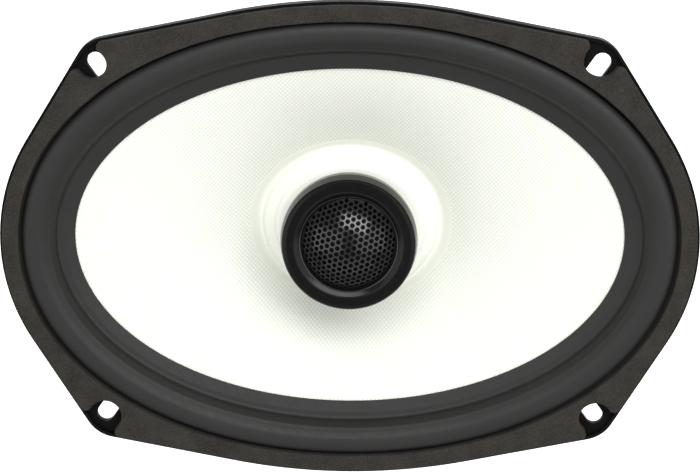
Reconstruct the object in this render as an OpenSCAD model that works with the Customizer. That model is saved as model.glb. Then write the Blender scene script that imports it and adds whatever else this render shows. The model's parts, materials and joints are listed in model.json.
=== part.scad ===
// Coaxial car speaker of the 6 x 9 inch size, with a woven cone and a tweeter on a centre post.
// Z = 0 is the rear face of the mounting flange and +Z points out of the front.
// X is the long axis, and the terminals are on the -Y side.

/* [Flange] */
// Overall length of the flange
flange_length = 236; // [230:1:242]
// Overall width of the flange
flange_width = 164; // [160:1:168]
// Thickness of the flange sheet
flange_t = 2.5; // [2:0.5:3]
// Radius of the arc at each narrow end
end_arc_r = 66; // [64:1:68]
// Radius of the shallow arc along each long side
side_arc_r = 205; // [195:5:215]
// Radius of the rounded ear at each screw slot
ear_r = 12; // [11:1:13]
// Width of the raised lip round the edge
lip_w = 1.1; // [0.8:0.1:1.5]
// Height of the raised lip above the flange
lip_h = 2; // [1:0.5:2.5]

/* [Screw slots] */
// Distance between slot centres along X
slot_spacing_x = 165.4; // [164:0.2:167]
// Distance between slot centres along Y
slot_spacing_y = 119.6; // [118:0.2:121]
// Half the width of a slot
slot_r = 3; // [2.5:0.25:3.25]
// Distance between the two end arcs of a slot
slot_run = 4.5; // [3:0.5:5]
// Direction of a slot from the X axis, in degrees
slot_angle = 55; // [50:1:60]

/* [Basket] */
// Half length of the opening behind the surround
opening_a = 107.6; // [107:0.2:108]
// Half width of the opening behind the surround
opening_b = 72.8; // [72:0.2:73.2]
// Wall of the skirt under the flange
skirt_t = 1.6; // [1.2:0.2:2]
// Depth of the skirt under the flange
skirt_h = 9; // [7:1:11]
// Sheet thickness of the arms, shelf and cup
sheet_t = 1.6; // [1.2:0.2:1.8]
// Width of an arm
arm_w = 15; // [12:1:16]
// Height of the spider shelf above the mounting face
shelf_z = -42.4; // [-43:0.2:-42]
// Height of the cup's rear face, where the motor is riveted on
cup_z = -55; // [-55.5:0.5:-55]

/* [Cone and surround] */
// Half length of the visible cone edge
cone_a = 93.2; // [93:0.1:93.4]
// Half width of the visible cone edge
cone_b = 58.6; // [58.4:0.1:58.8]
// Height of the visible cone edge
cone_edge_z = -2.3; // [-2.5:0.1:-2.1]
// Height of the cone neck
cone_neck_z = -33; // [-33.5:0.1:-32.5]
// Thickness of the woven cone
cone_t = 0.6; // [0.4:0.1:0.7]
// Half length of the surround's outer foot
foot_a = 109.8; // [109.6:0.1:110]
// Half width of the surround's outer foot
foot_b = 74.4; // [74.2:0.1:74.6]
// Width of the surround's half roll
roll_w = 10.6; // [10.2:0.1:11]
// Height of the roll above its own foot line
roll_h = 5; // [4.5:0.1:5.2]

/* [Motor] */
// Radius of the pole
pole_r = 15.4; // [15.2:0.1:15.5]
// Radius of the top plate's bore
gap_r = 17.2; // [17.1:0.1:17.4]
// Radius of the top plate and the back plate
plate_r = 42; // [40:1:43]
// Radius of the ferrite ring
magnet_r = 45; // [44:1:45]
// Height of the ferrite ring
magnet_h = 17; // [16:1:17]
// Thickness of each steel plate
plate_t = 5; // [5:0.5:5.5]

/* [Tweeter] */
// Radius of the bezel's front edge
bezel_r = 22.06; // [21.9:0.02:22.2]
// Radius of the pod at its widest
pod_r = 23.2; // [23:0.1:23.4]
// Height of the bezel's front edge
bezel_z = 8.5; // [8.3:0.1:8.7]
// Radius of the grille dome where it meets the bezel
grille_r = 16.3; // [16:0.1:16.4]
// Height of the grille's crown above its rim
grille_h = 7.7; // [7:0.1:8]
// Radius of the tweeter dome
dome_r = 12.5; // [12.4:0.1:12.6]

/* [Hidden] */
$fn = 64;
oval_steps = 144;
ring_steps = 72;
full_round = 2;
fuller_round = 2.05;
gasket_round = 2.07;

taper_angle = 31.8;
shoulder_angle = 78.8;
end_cx = flange_length / 2 - end_arc_r;
side_cy = flange_width / 2 - side_arc_r;
taper_reach = end_cx * cos(taper_angle) + end_arc_r - ear_r;
shoulder_reach = side_cy * sin(shoulder_angle) + side_arc_r - ear_r;
ear_span = sin(shoulder_angle - taper_angle);
ear_cx = (taper_reach * sin(shoulder_angle) - shoulder_reach * sin(taper_angle)) / ear_span;
ear_cy = (shoulder_reach * cos(taper_angle) - taper_reach * cos(shoulder_angle)) / ear_span;

magnet_z = cup_z - plate_t;
back_z = magnet_z - magnet_h;
rear_z = back_z - plate_t;
post_r = 4;
wire_bore_r = 1.7;
nut_h = 2.5;
washer_t = 1;
washer_z = back_z - 2.5;
stem_z = rear_z + 0.3;
former_r = pole_r + 0.5;
former_t = 0.3;
winding_t = 0.5;
landing_a = foot_a + 4.7;
landing_b = foot_b + 4.2;
gasket_z = flange_t + 0.6;
gasket_top = 7;
gasket_in_a = foot_a + 1.7;
gasket_in_b = foot_b + 1.1;
gasket_inset = lip_w + 0.2;
notch_r = 5.6;
dust_a = 35.2;
dust_b = 29.4;
tab_half = 16;
board_z = shelf_z - sheet_t - 1.6;
board_t = 1.6;
board_half = 18;
board_y = [-58.2, -74];
board_rivet = [13, -61];
eyelet = [9.5, -67.5];
rivet_circle_r = 34;
rivet_r = 2.2;
wire_r = 0.7;
lead_r = 0.6;
lane_x = 0.8;
boot_r = magnet_r + 2;
boot_top_z = magnet_z - 1.5;
boot_z = rear_z - 3;
arm_angles = [25, 62, 118, 155, 205, 242, 298, 335];

// ---- outlines ----

function arc(cx, cy, r, a0, a1, steps) =
    [for (i = [0:steps]) let (a = a0 + (a1 - a0) * i / steps) [cx + r * cos(a), cy + r * sin(a)]];

// One quarter of the flange outline, from the +X end round to the +Y side
function flange_quarter(inset) = concat(
    arc(end_cx, 0, end_arc_r - inset, 0, taper_angle, 12),
    arc(ear_cx, ear_cy, ear_r - inset, taper_angle, shoulder_angle, 10),
    arc(0, side_cy, side_arc_r - inset, shoulder_angle, 90, 10));

function flipped(pts, sx, sy) = [for (p = pts) [p[0] * sx, p[1] * sy]];
function reversed(pts) = [for (i = [len(pts) - 1:-1:0]) pts[i]];

function flange_points(inset) = let (q = flange_quarter(inset)) concat(
    q, reversed(flipped(q, -1, 1)), flipped(q, -1, -1), reversed(flipped(q, 1, -1)));

// A point of an oval whose exponent 2 gives a true ellipse, and more gives a fuller one
function oval_point(a, b, exponent, t) =
    [a * sign(cos(t)) * pow(abs(cos(t)), 2 / exponent), b * sign(sin(t)) * pow(abs(sin(t)), 2 / exponent)];

module flange_outline(inset = 0) polygon(flange_points(inset));

module oval(a, b, exponent = full_round)
    polygon([for (i = [0:oval_steps - 1]) oval_point(a, b, exponent, 360 * i / oval_steps)]);

// Runs its children once for each of the four screw slots, in the slot's own direction
module at_slots()
    for (sx = [-1, 1], sy = [-1, 1])
        translate([sx * slot_spacing_x / 2, sy * slot_spacing_y / 2])
            rotate(atan2(sy * sin(slot_angle), sx * cos(slot_angle)))
                children();

module slot_outline() {
    translate([-slot_run / 2, 0]) circle(slot_r);
    translate([slot_run / 2, 0]) circle(slot_r);
    square([slot_run, 2 * slot_r], center = true);
}

// ---- solids built from rings ----

// A closed ring-shaped solid. Its profile is a list of [half length, half width, height, exponent]
// that goes anticlockwise round the section: out along the bottom and back along the top.
module ring_solid(profile) {
    count = len(profile);
    points = [for (p = profile) for (i = [0:ring_steps - 1])
        let (q = oval_point(p[0], p[1], p[3], 360 * i / ring_steps)) [q[0], q[1], p[2]]];
    faces = [for (j = [0:count - 1]) for (i = [0:ring_steps - 1])
        let (k = (j + 1) % count, m = (i + 1) % ring_steps)
            for (f = [
                [j * ring_steps + i, k * ring_steps + i, k * ring_steps + m],
                [j * ring_steps + i, k * ring_steps + m, j * ring_steps + m]
            ]) f];
    polyhedron(points, faces, convexity = 8);
}

// Cuts the corners off a route, which keeps its ends
function smoothed(pts, passes) = passes == 0 ? pts : smoothed(concat(
    [pts[0]],
    [for (i = [0:len(pts) - 2]) for (f = [0.25, 0.75]) pts[i] * (1 - f) + pts[i + 1] * f],
    [pts[len(pts) - 1]]), passes - 1);

function unit(v) = v / norm(v);

// A round wire swept along a route
module wire(route, r, passes = 2, sides = 8) {
    pts = smoothed(route, passes);
    last = len(pts) - 1;
    rings = [for (i = [0:last])
        let (
            along = unit(pts[min(i + 1, last)] - pts[max(i - 1, 0)]),
            u = unit(cross([1, 0, 0], along)),
            v = cross(along, u)
        ) for (s = [0:sides - 1]) pts[i] + r * (cos(360 * s / sides) * u + sin(360 * s / sides) * v)];
    walls = [for (i = [0:last - 1]) for (s = [0:sides - 1])
        let (n = (s + 1) % sides)
            for (f = [
                [i * sides + s, (i + 1) * sides + s, (i + 1) * sides + n],
                [i * sides + s, (i + 1) * sides + n, i * sides + n]
            ]) f];
    ends = [for (s = [1:sides - 2])
        for (f = [[0, s, s + 1], [last * sides, last * sides + s + 1, last * sides + s]]) f];
    polyhedron(rings, concat(walls, ends), convexity = 8);
}

// A straight round rod between two points
module rod(p, q, r) {
    d = q - p;
    translate(p) rotate([0, acos(d[2] / norm(d)), atan2(d[1], d[0])]) cylinder(h = norm(d), r = r);
}

// ---- cone shape ----
// Along the cone t runs from 0 at the neck to 1 at the visible edge.

neck_r = former_r + former_t + 0.1;
function cone_half_a(t) = neck_r + (cone_a - neck_r) * t;
function cone_half_b(t) = neck_r + (cone_b - neck_r) * t + 14.6 * t * (1 - t);
function cone_z(t) = cone_neck_z + (cone_edge_z - cone_neck_z) * (1.519 * t - 0.519 * t * t);
function cone_ring(t, lift) = [cone_half_a(t), cone_half_b(t), cone_z(t) + lift, full_round];
cone_steps = 6;
glue_w = 4.2;
function glue_ring(lift) = [cone_a + glue_w, cone_b + glue_w, cone_edge_z + 1.35 + lift, full_round];

module cone()
    color([0.93, 0.93, 0.9]) ring_solid(concat(
        [for (i = [0:cone_steps]) cone_ring(i / cone_steps, -cone_t)],
        [glue_ring(-cone_t), glue_ring(0)],
        [for (i = [cone_steps:-1:0]) cone_ring(i / cone_steps, 0)]));

// ---- surround ----

roll_mid_a = foot_a - roll_w / 2;
roll_mid_b = foot_b - 5;
roll_lean = 1.4;
roll_steps = 8;
rubber_t = 0.5;
function roll_exponent(phi) = 2 + 0.025 * (1 + cos(phi));
function roll_top(phi) = [roll_mid_a + roll_w / 2 * cos(phi), roll_mid_b + 5 * cos(phi),
    1.6 + roll_lean * cos(phi) + roll_h * sin(phi), roll_exponent(phi)];
function roll_bottom(phi) = [roll_mid_a + (roll_w / 2 - 0.8) * cos(phi), roll_mid_b + 4.3 * cos(phi),
    1.1 + roll_lean * cos(phi) + (roll_h - 0.5) * sin(phi), roll_exponent(phi)];

module surround()
    color([0.2, 0.2, 0.2]) ring_solid(concat(
        [cone_ring(1, 0.1), glue_ring(0.1)],
        [for (i = [roll_steps:-1:0]) roll_bottom(180 * i / roll_steps)],
        [[landing_a, landing_b, flange_t, fuller_round]],
        [[landing_a, landing_b, flange_t + rubber_t, fuller_round]],
        [for (i = [0:roll_steps]) roll_top(180 * i / roll_steps)],
        [glue_ring(0.65), cone_ring(1, 0.5)]));

// ---- dust ring ----

module dust_ring() {
    flange_in = 0.187;
    flange_out = 0.2458;
    color([0.93, 0.94, 0.9]) ring_solid([
        [14, 14, -18.7, full_round],
        [22, 18.2, -18.4, full_round],
        [25.2, 20.9, -19.2, full_round],
        [27.4, 23.2, -21, full_round],
        [29, 25, -23, full_round],
        cone_ring(flange_in, 0.1),
        cone_ring(flange_out, 0.1),
        cone_ring(flange_out, 0.6),
        cone_ring(flange_in, 0.6),
        [29.8, 25.9, -22.4, full_round],
        [28.2, 24.1, -20.3, full_round],
        [26.2, 21.9, -19.3, full_round],
        [25.5, 21.2, -18.4, full_round],
        [22, 18.2, -17.8, full_round],
        [14, 14, -18.1, full_round]]);
}

// ---- basket ----

function bend(p0, p1, p2, t) = (1 - t) * (1 - t) * p0 + 2 * t * (1 - t) * p1 + t * t * p2;
function bend_normal(p0, p1, p2, t) =
    let (d = unit((1 - t) * (p1 - p0) + t * (p2 - p1))) [d[1], -d[0]];
function oval_radius(a, b, angle) = 1 / sqrt(pow(cos(angle) / a, 2) + pow(sin(angle) / b, 2));
arm_steps = 8;
shelf_r = 57;
cup_r = 49.2;

// Side view of an arm: a bent strip between two distances from its middle line
module arm_profile(reach, inner, outer) {
    p0 = [reach + 3, -5];
    p1 = [reach - 5, -26];
    p2 = [shelf_r - 1, shelf_z - sheet_t / 2];
    polygon(concat(
        [for (i = [0:arm_steps]) let (t = i / arm_steps)
            bend(p0, p1, p2, t) - inner * bend_normal(p0, p1, p2, t)],
        [for (i = [arm_steps:-1:0]) let (t = i / arm_steps)
            bend(p0, p1, p2, t) - outer * bend_normal(p0, p1, p2, t)]));
}

module arm(angle) {
    reach = oval_radius(opening_a, opening_b, angle);
    rotate(angle) rotate([90, 0, 0]) {
        linear_extrude(arm_w, center = true) arm_profile(reach, -sheet_t / 2, sheet_t / 2);
        for (side = [-1, 1])
            translate([0, 0, side * (arm_w / 2 - 1)])
                linear_extrude(2, center = true) arm_profile(reach, -2.4, -sheet_t / 4);
    }
}

module cup()
    rotate_extrude() polygon([
        [gap_r + 2.3, cup_z], [cup_r, cup_z], [cup_r, shelf_z - sheet_t],
        [shelf_r, shelf_z - sheet_t], [shelf_r, shelf_z], [cup_r - sheet_t, shelf_z],
        [cup_r - sheet_t, cup_z + sheet_t], [gap_r + 2.3, cup_z + sheet_t]]);

module at_rivets(circle_r, count)
    for (i = [0:count - 1]) rotate(45 + 360 * i / count) translate([circle_r, 0]) children();

module basket()
    color([0.16, 0.16, 0.16]) difference() {
        union() {
            linear_extrude(flange_t) flange_outline();
            translate([0, 0, flange_t]) linear_extrude(lip_h) difference() {
                flange_outline();
                flange_outline(lip_w);
            }
            translate([0, 0, -skirt_h]) linear_extrude(skirt_h)
                oval(opening_a + skirt_t, opening_b + skirt_t, fuller_round);
            intersection() {
                union() for (angle = arm_angles) arm(angle);
                translate([0, 0, -60]) linear_extrude(59)
                    oval(opening_a + skirt_t, opening_b + skirt_t, fuller_round);
            }
            cup();
            translate([-tab_half, -64.5, shelf_z - sheet_t]) cube([2 * tab_half, 12, sheet_t]);
        }
        translate([0, 0, -skirt_h - 1]) linear_extrude(skirt_h + flange_t + 2)
            oval(opening_a, opening_b, fuller_round);
        translate([0, 0, -1]) linear_extrude(flange_t + 2) at_slots() slot_outline();
        translate([0, 0, cup_z - 1]) at_rivets(rivet_circle_r, 4)
            cylinder(h = sheet_t + 2, r = rivet_r + 0.05);
        for (side = [-1, 1])
            translate([side * board_rivet[0], board_rivet[1], shelf_z - sheet_t - 1])
                cylinder(h = sheet_t + 2, r = 1.5);
    }

module front_gasket() {
    mouth = 12;
    mouth_half = 8;
    color([0.24, 0.23, 0.21]) difference() {
        translate([0, 0, flange_t]) linear_extrude(gasket_top - flange_t) difference() {
            flange_outline(gasket_inset);
            oval(gasket_in_a, gasket_in_b, gasket_round);
            at_slots() translate([slot_run / 2, 0]) {
                circle(notch_r);
                polygon([[0, notch_r], [0, -notch_r], [mouth, -mouth_half], [mouth, mouth_half]]);
            }
        }
        translate([0, 0, flange_t - 1]) linear_extrude(gasket_z - flange_t + 1)
            oval(landing_a + 0.2, landing_b + 0.2, gasket_round);
    }
}

// ---- voice coil and spider ----

module tube(r_in, r_out, z0, z1)
    translate([0, 0, z0]) difference() {
        cylinder(h = z1 - z0, r = r_out);
        translate([0, 0, -1]) cylinder(h = z1 - z0 + 2, r = r_in);
    }

module voice_coil_former()
    color([0.75, 0.55, 0.25]) tube(former_r, former_r + former_t, -65, cone_neck_z + 2);

module voice_coil_winding()
    color([0.72, 0.4, 0.2])
        tube(former_r + former_t, former_r + former_t + winding_t, -64.5, -50.5);

module lead_pads()
    color([0.1, 0.1, 0.1]) for (side = [-1, 1])
        translate([side * 5.3, -25.2, -27.6]) cylinder(h = 2, r = 1.6);

module spider() {
    wave_in = 20.5;
    wave_out = 46.9;
    waves = 5.5;
    cloth_t = 0.5;
    function spider_z(r) = shelf_z + 0.1
        + (r < wave_in || r > wave_out ? 0 : 1.3 * sin(360 * waves * (r - wave_in) / (wave_out - wave_in)));
    radii = concat([neck_r - 0.05], [for (r = [wave_in:1.1:wave_out + 0.1]) r], [54]);
    color([0.8, 0.62, 0.3]) rotate_extrude() polygon(concat(
        [for (r = radii) [r, spider_z(r)]],
        [for (r = reversed(radii)) [r, spider_z(r) + cloth_t]]));
}

// ---- motor ----

module top_plate()
    color([0.7, 0.7, 0.68]) difference() {
        tube(gap_r, plate_r, magnet_z, cup_z);
        translate([0, 0, magnet_z - 1]) at_rivets(rivet_circle_r, 4)
            cylinder(h = plate_t + 2, r = rivet_r + 0.05);
    }

module ferrite_magnet()
    color([0.15, 0.15, 0.16]) tube(magnet_r / 2, magnet_r, back_z, magnet_z);

module yoke()
    color([0.7, 0.7, 0.68]) rotate_extrude() polygon([
        [post_r + 0.1, washer_z + 1], [8.6, washer_z + 1], [8.6, rear_z], [plate_r, rear_z],
        [plate_r, back_z], [pole_r, back_z], [pole_r, cup_z], [post_r + 0.1, cup_z]]);

module motor_rivets()
    color([0.6, 0.6, 0.6]) at_rivets(rivet_circle_r, 4) {
        translate([0, 0, magnet_z]) cylinder(h = plate_t + sheet_t, r = rivet_r);
        translate([0, 0, cup_z + sheet_t]) cylinder(h = 1.5, r1 = 4, r2 = 3);
    }

module magnet_boot() {
    channel_w = 3.6;
    channel_y = magnet_r + 3.3;
    color([0.09, 0.09, 0.09]) difference() {
        union() {
            rotate_extrude() polygon([
                [0, boot_z], [20, boot_z], [20, boot_z + 0.6], [22, boot_z + 0.6], [22, boot_z],
                [boot_r - 2.5, boot_z], [boot_r - 0.7, boot_z + 0.7], [boot_r, boot_z + 2.5],
                [boot_r, boot_top_z], [magnet_r + 0.1, boot_top_z], [magnet_r + 0.1, rear_z],
                [0, rear_z]]);
            translate([-channel_w / 2 - 1.5, -channel_y - 1.5, boot_z + 0.8])
                cube([channel_w + 3, 6, boot_top_z - boot_z - 0.8]);
        }
        translate([-channel_w / 2, -channel_y, rear_z - 1.5])
            cube([channel_w, channel_y, boot_top_z - rear_z + 3]);
        translate([0, 0, rear_z]) cylinder(h = 30, r = magnet_r + 0.1);
    }
}

// ---- terminals ----

module terminal_board()
    color([0.42, 0.22, 0.1]) translate([0, 0, board_z]) linear_extrude(board_t) difference() {
        translate([-board_half, board_y[1]]) square([2 * board_half, board_y[0] - board_y[1]]);
        for (side = [-1, 1]) {
            translate([side * board_rivet[0], board_rivet[1]]) circle(1.5);
            translate([side * eyelet[0], eyelet[1]]) circle(1.25);
        }
    }

module terminal_board_rivets()
    color([0.75, 0.75, 0.75]) for (side = [-1, 1])
        translate([side * board_rivet[0], board_rivet[1], board_z]) {
            cylinder(h = board_t + sheet_t, r = 1.45);
            translate([0, 0, -0.8]) cylinder(h = 0.8, r1 = 2, r2 = 2.6);
            translate([0, 0, board_t + sheet_t]) cylinder(h = 0.8, r1 = 2.6, r2 = 2);
        }

// A push-on tab: a foot on the board and a blade that points to the rear
module terminal(x, width) {
    tab_t = 0.8;
    blade_y = -72.3;
    blade_l = 10;
    color([0.8, 0.72, 0.45]) {
        difference() {
            translate([x - width / 2, blade_y, board_z - tab_t])
                cube([width, 8.3, tab_t]);
            translate([x, eyelet[1], board_z - 3]) cylinder(h = 4, r = 1.25);
        }
        translate([0, blade_y + tab_t, board_z]) rotate([90, 0, 0]) linear_extrude(tab_t)
            difference() {
                polygon([
                    [x - width / 2, 0], [x - width / 2, -blade_l], [x - width / 2 + 1, -blade_l - 1.2],
                    [x + width / 2 - 1, -blade_l - 1.2], [x + width / 2, -blade_l], [x + width / 2, 0]]);
                translate([x, -blade_l + 2]) circle(0.9);
            }
    }
}

module terminal_positive() terminal(-eyelet[0], 6.3);

module terminal_negative() terminal(eyelet[0], 4.8);

module terminal_eyelets()
    color([0.75, 0.75, 0.75]) for (side = [-1, 1])
        translate([side * eyelet[0], eyelet[1], board_z]) {
            translate([0, 0, -0.8]) cylinder(h = board_t + 0.8, r = 1.2);
            translate([0, 0, -1.4]) cylinder(h = 0.6, r1 = 1.8, r2 = 2.2);
            translate([0, 0, board_t]) cylinder(h = 0.7, r1 = 2.2, r2 = 1.8);
        }

// ---- leads and wires ----

function lead_route(side) = [
    [side * 9.5, -67.5, -42.6], [side * 9.5, -67, -40], [side * 9.3, -63, -36.5],
    [side * 8.8, -56, -33.8], [side * 8, -47, -32.6], [side * 7, -38, -32],
    [side * 6, -31, -31.2], [side * 5.4, -26.6, -29.6], [side * 5.3, -25.4, -28.3]];

module tinsel_lead_positive() color([0.75, 0.45, 0.25]) wire(lead_route(-1), lead_r, 1);

module tinsel_lead_negative() color([0.75, 0.45, 0.25]) wire(lead_route(1), lead_r, 1);

can_r = 4.8;
can_y = -56.5;
can_z = -51;
can_half = 9.5;
module crossover_capacitor()
    color([0.15, 0.3, 0.5]) {
        translate([-can_half, can_y, can_z]) rotate([0, 90, 0]) cylinder(h = 2 * can_half, r = can_r);
        rod([-can_half - 2, can_y, can_z], [-can_half + 1, can_y, can_z], 0.35);
        rod([-can_half - 2, can_y + 0.2, can_z - 0.1], [-can_half - 1.6, -63, -49], 0.35);
        rod([-can_half - 1.6, -62.8, -49.1], [-11.5, -64.9, -46.85], 0.35);
        rod([can_half - 1, can_y, can_z], [can_half + 2.6, can_y, can_z], 0.35);
    }

// The last stretch of both wires: down the boot, across the rear, up the post and out to the tweeter
function lane(x) = [
    [x, -46.9, -64], [x, -46.9, -78], [x, -46.6, -81.2], [x, -45.2, -82.75], [x, -41, -82.75],
    [x, -20, -82.75], [x, -5, -82.75], [x, -2.4, -82.75], [x, -0.4, -81.6], [x, 0, -79],
    [x, 0, -45], [x, 0, -14], [x, 0, -10.6], [x, -1, -9.35], [x, -5, -9.35], [x, -13, -9.4],
    [x, -16.4, -9.4], [x, -16.4, -6], [x, -16.4, -0.1]];

module tweeter_wire_positive()
    color([0.7, 0.08, 0.06]) wire(concat([
        [can_half + 2.9, can_y, can_z - 0.9], [can_half + 2.6, -55.4, -56.5], [8, -52, -58.6],
        [2.6, -48.8, -59.2], [lane_x, -47, -60.4]], lane(lane_x)), wire_r, 1);

module tweeter_wire_negative()
    color([0.08, 0.08, 0.08]) wire(concat([
        [8.4, -66.4, -47.9], [6, -66.2, -50.5], [3.4, -63.8, -55.2], [0.6, -58, -58.2],
        [-0.6, -52, -59.3], [-lane_x, -47.4, -60]], lane(-lane_x)), wire_r, 1);

// ---- tweeter post ----

module tweeter_post()
    color([0.65, 0.65, 0.66]) rotate_extrude() polygon([
        [3, stem_z], [post_r - 0.5, stem_z], [post_r, stem_z + 0.5], [post_r, cup_z],
        [6, cup_z], [6, -13.5], [post_r, -13.5], [post_r, -10.5], [wire_bore_r, -10.5],
        [wire_bore_r, stem_z + 2.3]]);

module post_washer()
    color([0.75, 0.75, 0.75]) tube(post_r + 0.15, 8, washer_z - washer_t + 1, washer_z + 1);

module post_nut()
    color([0.75, 0.75, 0.7]) translate([0, 0, washer_z - washer_t + 1 - nut_h]) difference() {
        cylinder(h = nut_h, r = 7.5, $fn = 6);
        translate([0, 0, -1]) cylinder(h = nut_h + 2, r = post_r + 0.05);
    }

// ---- tweeter pod ----

pot_r = 15;
pot_z = -8.5;
ring_z = 0;
seat_r = 20.4;
grille_rim_z = 7.3;
module tweeter_housing()
    color([0.09, 0.09, 0.08]) difference() {
        rotate_extrude() polygon([
            [post_r + 0.02, -13.5], [8.6, -13.5], [12, -12.9], [16.5, -11.5], [19.8, -8.8],
            [21.8, -5.2], [22.9, -1.4], [pod_r - 0.1, ring_z], [seat_r, ring_z], [seat_r, -1.5],
            [18.6, -1.6], [17.8, pot_z], [pot_r + 0.1, pot_z], [post_r + 0.02, pot_z]]);
        translate([-2, -17.3, pot_z - 1.9]) cube([4, 17.3, 3]);
    }

module tweeter_bezel()
    color([0.1, 0.09, 0.08]) rotate_extrude() polygon([
        [seat_r + 0.1, ring_z], [pod_r - 0.1, ring_z], [pod_r, 3], [pod_r - 0.2, 4.5],
        [bezel_r + 0.5, bezel_z - 0.6], [bezel_r, bezel_z], [bezel_r - 1.2, bezel_z + 0.15],
        [18.6, bezel_z], [18.1, bezel_z - 0.15], [grille_r + 0.35, grille_rim_z + 0.4],
        [grille_r + 0.35, grille_rim_z + 0.02], [grille_r + 1.45, grille_rim_z + 0.02],
        [grille_r + 1.45, 5.4], [seat_r - 0.4, 4.6], [seat_r + 0.1, 3]]);

module tweeter_grille() {
    sphere_r = (grille_r * grille_r + grille_h * grille_h) / (2 * grille_h);
    sheet = 0.5;
    color([0.12, 0.12, 0.12]) {
        intersection() {
            translate([0, 0, grille_rim_z + grille_h - sphere_r]) difference() {
                sphere(sphere_r);
                sphere(sphere_r - sheet);
            }
            translate([0, 0, grille_rim_z - sheet]) cylinder(h = grille_h + 2, r = grille_r + 0.2);
        }
        tube(grille_r - 0.6, grille_r + 1.4, grille_rim_z - sheet, grille_rim_z);
    }
}

dome_base = 1.6;
module tweeter_dome() {
    dome_h = 4;
    film = 0.25;
    sphere_r = (dome_r * dome_r + dome_h * dome_h) / (2 * dome_h);
    color([0.35, 0.3, 0.2]) intersection() {
        translate([0, 0, dome_base + dome_h - sphere_r]) difference() {
            sphere(sphere_r);
            sphere(sphere_r - film);
        }
        translate([0, 0, dome_base]) cylinder(h = dome_h + 1, r = dome_r + 0.2);
    }
}

module tweeter_voice_coil()
    color([0.72, 0.4, 0.2]) tube(dome_r - 0.15, dome_r + 0.25, -3.6, dome_base);

module tweeter_suspension()
    color([0.3, 0.27, 0.2]) rotate_extrude() polygon([
        [dome_r + 0.3, dome_base + 0.2], [13.2, dome_base + 0.7], [14, dome_base + 0.9],
        [14.8, dome_base + 0.6], [15.3, dome_base + 0.02], [17.5, dome_base + 0.02],
        [17.5, dome_base + 0.25], [15.4, dome_base + 0.25], [14.9, dome_base + 0.85],
        [14, dome_base + 1.15], [13.1, dome_base + 0.95], [dome_r + 0.3, dome_base + 0.45]]);

module tweeter_magnet() color([0.6, 0.6, 0.62]) translate([0, 0, -6.5]) cylinder(h = 3.5, r = 10.5);

module tweeter_pole_plate() color([0.7, 0.7, 0.68]) translate([0, 0, -3]) cylinder(h = 2.5, r = 11.9);

module tweeter_pot()
    color([0.7, 0.7, 0.68]) rotate_extrude() polygon([
        [0, pot_z], [pot_r, pot_z], [pot_r, ring_z], [13.2, ring_z], [13.2, -6.5], [0, -6.5]]);

module tweeter_mounting_ring()
    color([0.12, 0.12, 0.12]) tube(13.4, seat_r - 0.1, ring_z, dome_base);

basket();
front_gasket();
surround();
cone();
dust_ring();
voice_coil_former();
voice_coil_winding();
lead_pads();
spider();
top_plate();
ferrite_magnet();
yoke();
motor_rivets();
magnet_boot();
terminal_board();
terminal_board_rivets();
terminal_positive();
terminal_negative();
terminal_eyelets();
tinsel_lead_positive();
tinsel_lead_negative();
crossover_capacitor();
tweeter_wire_positive();
tweeter_wire_negative();
tweeter_post();
post_washer();
post_nut();
tweeter_housing();
tweeter_bezel();
tweeter_grille();
tweeter_dome();
tweeter_voice_coil();
tweeter_suspension();
tweeter_magnet();
tweeter_pole_plate();
tweeter_pot();
tweeter_mounting_ring();
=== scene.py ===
"""Looks for a 6 x 9 inch coaxial car speaker: meshes, materials, light and camera around the CAD frame.

Lengths are in millimetres until mesh_piece() turns them into metres.
"""
import json
import math

import bmesh
import bpy
from mathutils import Matrix, Vector, geometry, noise


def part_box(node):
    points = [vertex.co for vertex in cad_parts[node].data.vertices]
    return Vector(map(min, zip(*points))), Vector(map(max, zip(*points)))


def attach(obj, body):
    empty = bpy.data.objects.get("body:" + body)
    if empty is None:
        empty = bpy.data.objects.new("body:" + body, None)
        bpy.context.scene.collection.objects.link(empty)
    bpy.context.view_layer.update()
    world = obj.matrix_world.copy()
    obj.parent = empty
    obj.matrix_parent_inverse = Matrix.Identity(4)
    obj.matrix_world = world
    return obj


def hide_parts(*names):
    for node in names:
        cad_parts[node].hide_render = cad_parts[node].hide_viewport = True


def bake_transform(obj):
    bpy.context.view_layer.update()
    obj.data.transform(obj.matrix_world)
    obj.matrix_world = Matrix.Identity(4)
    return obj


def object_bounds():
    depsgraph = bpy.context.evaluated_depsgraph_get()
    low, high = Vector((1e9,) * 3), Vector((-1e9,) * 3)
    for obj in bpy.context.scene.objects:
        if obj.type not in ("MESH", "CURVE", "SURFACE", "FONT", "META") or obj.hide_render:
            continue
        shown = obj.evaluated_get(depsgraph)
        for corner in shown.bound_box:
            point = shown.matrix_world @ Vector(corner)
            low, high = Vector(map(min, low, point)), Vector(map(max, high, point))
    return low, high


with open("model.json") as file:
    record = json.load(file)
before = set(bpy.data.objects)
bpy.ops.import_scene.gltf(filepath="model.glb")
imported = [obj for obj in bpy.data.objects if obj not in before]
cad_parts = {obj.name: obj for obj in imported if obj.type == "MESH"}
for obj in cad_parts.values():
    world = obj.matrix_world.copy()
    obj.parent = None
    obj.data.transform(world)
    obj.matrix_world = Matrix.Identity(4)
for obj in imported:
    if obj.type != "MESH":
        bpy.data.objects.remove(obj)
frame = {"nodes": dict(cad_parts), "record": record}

MM = 0.001
TURN = 2 * math.pi
cad_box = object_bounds()
nodes = frame["nodes"]


def reach(node, axis):
    """How far a CAD node reaches along an axis, 0 for X to 2 for Z."""
    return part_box(node)[1][axis] / MM


def clamped(share):
    """A share kept between 0 and 1."""
    return max(0, min(1, share))


def eased(share):
    """A share that starts and ends gently, as a sheet does where it is clamped."""
    share = clamped(share)
    return share * share * (3 - 2 * share)


# ---- driving sizes, which the CAD shares ----

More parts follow.
